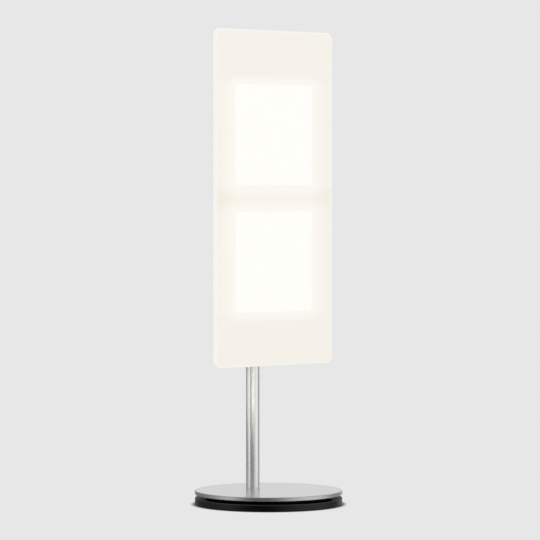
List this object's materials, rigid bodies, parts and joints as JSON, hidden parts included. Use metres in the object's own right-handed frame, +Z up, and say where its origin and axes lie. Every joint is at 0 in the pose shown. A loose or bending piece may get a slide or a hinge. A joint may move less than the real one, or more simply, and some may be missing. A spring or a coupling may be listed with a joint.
{
  "type": "table lamp",
  "caption": "Table lamp: a tall satin plate lit by square OLED tiles, on a slim steel tube that stands on a turning disc base, with a dimmer button behind.",
  "frame": {"origin": "on the table, under the axis of the base discs", "axes": "+Z up, the light faces -Y, the stem stands on the +Y side of the base's axis"},
  "size_m": [0.135, 0.13, 0.4165],
  "materials": {
    "opal_acrylic": "satin opal acrylic with polished edges",
    "lit_layer": "glowing warm white film",
    "tile_glass": "clear sheet glass",
    "satin_steel": "satin ground stainless steel",
    "tube_steel": "satin drawn stainless steel",
    "turned_steel": "turned",
    "screw_steel": "zinc plated",
    "spring_steel": "oiled spring steel",
    "brass": "turned",
    "black_paint": "satin black powder coat on steel",
    "pad_rubber": "matt",
    "black_rubber": "matt",
    "lead_sheath": "smooth sheath",
    "white_sheath": "smooth sheath",
    "black_acetal": "machined",
    "natural_acetal": "moulded",
    "white_housing": "fine moulded texture",
    "button_plastic": "fine moulded texture",
    "foam_tape": "foam",
    "aluminium_sheet": "mill finish",
    "circuit_board": "solder mask",
    "component_black": "moulded",
    "white_moulding": "moulded"
  },
  "bodies": {
    "base": {"foot_pad": "pad_rubber", "base_weight": "black_paint", "cord_gland": "black_rubber", "terminal_block": "white_moulding", "base_lead": "lead_sheath", "pivot_bush": "natural_acetal", "slide_ring": "black_acetal"},
    "lamp": {"steel_disc": "satin_steel", "pivot": "turned_steel", "pivot_screws": "screw_steel", "retaining_ring": "spring_steel", "wave_washer": "spring_steel", "stop_pin": "turned_steel", "stem_tube": "tube_steel", "foot_bush": "brass", "foot_screw": "screw_steel", "stem_cap": "tube_steel", "stem_lead": "lead_sheath", "stem_spacer_upper": "tube_steel", "stem_spacer_lower": "tube_steel", "spacer_screws": "screw_steel", "spacer_nuts": "brass", "wire_sleeve": "black_rubber", "rear_housing": "white_housing", "bond_tape": "foam_tape", "diffuser_plate": "opal_acrylic", "tile_glass_upper": "tile_glass", "tile_glass_lower": "tile_glass", "tile_emitter_upper": "lit_layer", "tile_emitter_lower": "lit_layer", "heat_spreader_upper": "aluminium_sheet", "heat_spreader_lower": "aluminium_sheet", "contact_strip_upper": "circuit_board", "contact_strip_lower": "circuit_board", "tile_lead_upper": "white_sheath", "tile_lead_lower": "white_sheath", "driver_board": "circuit_board", "driver_components": "component_black", "board_connectors": "white_moulding", "board_screws": "screw_steel", "dimmer_switch": "component_black"},
    "button": {"switch_plunger": "white_moulding", "dimmer_button": "button_plastic"}
  },
  "joints": [
    {"name": "base_swivel", "type": "hinge", "parent": "base", "child": "lamp", "pos_m": [0, 0, 0.0075], "axis": [0, 0, 1], "range_deg": [-165, 165]},
    {"name": "dimmer_press", "type": "slide", "parent": "lamp", "child": "button", "axis": [0, -1, 0], "range_m": [0, 0.0008], "stiffness_N_per_m": 1200, "springref_m": -0.0007}
  ]
}
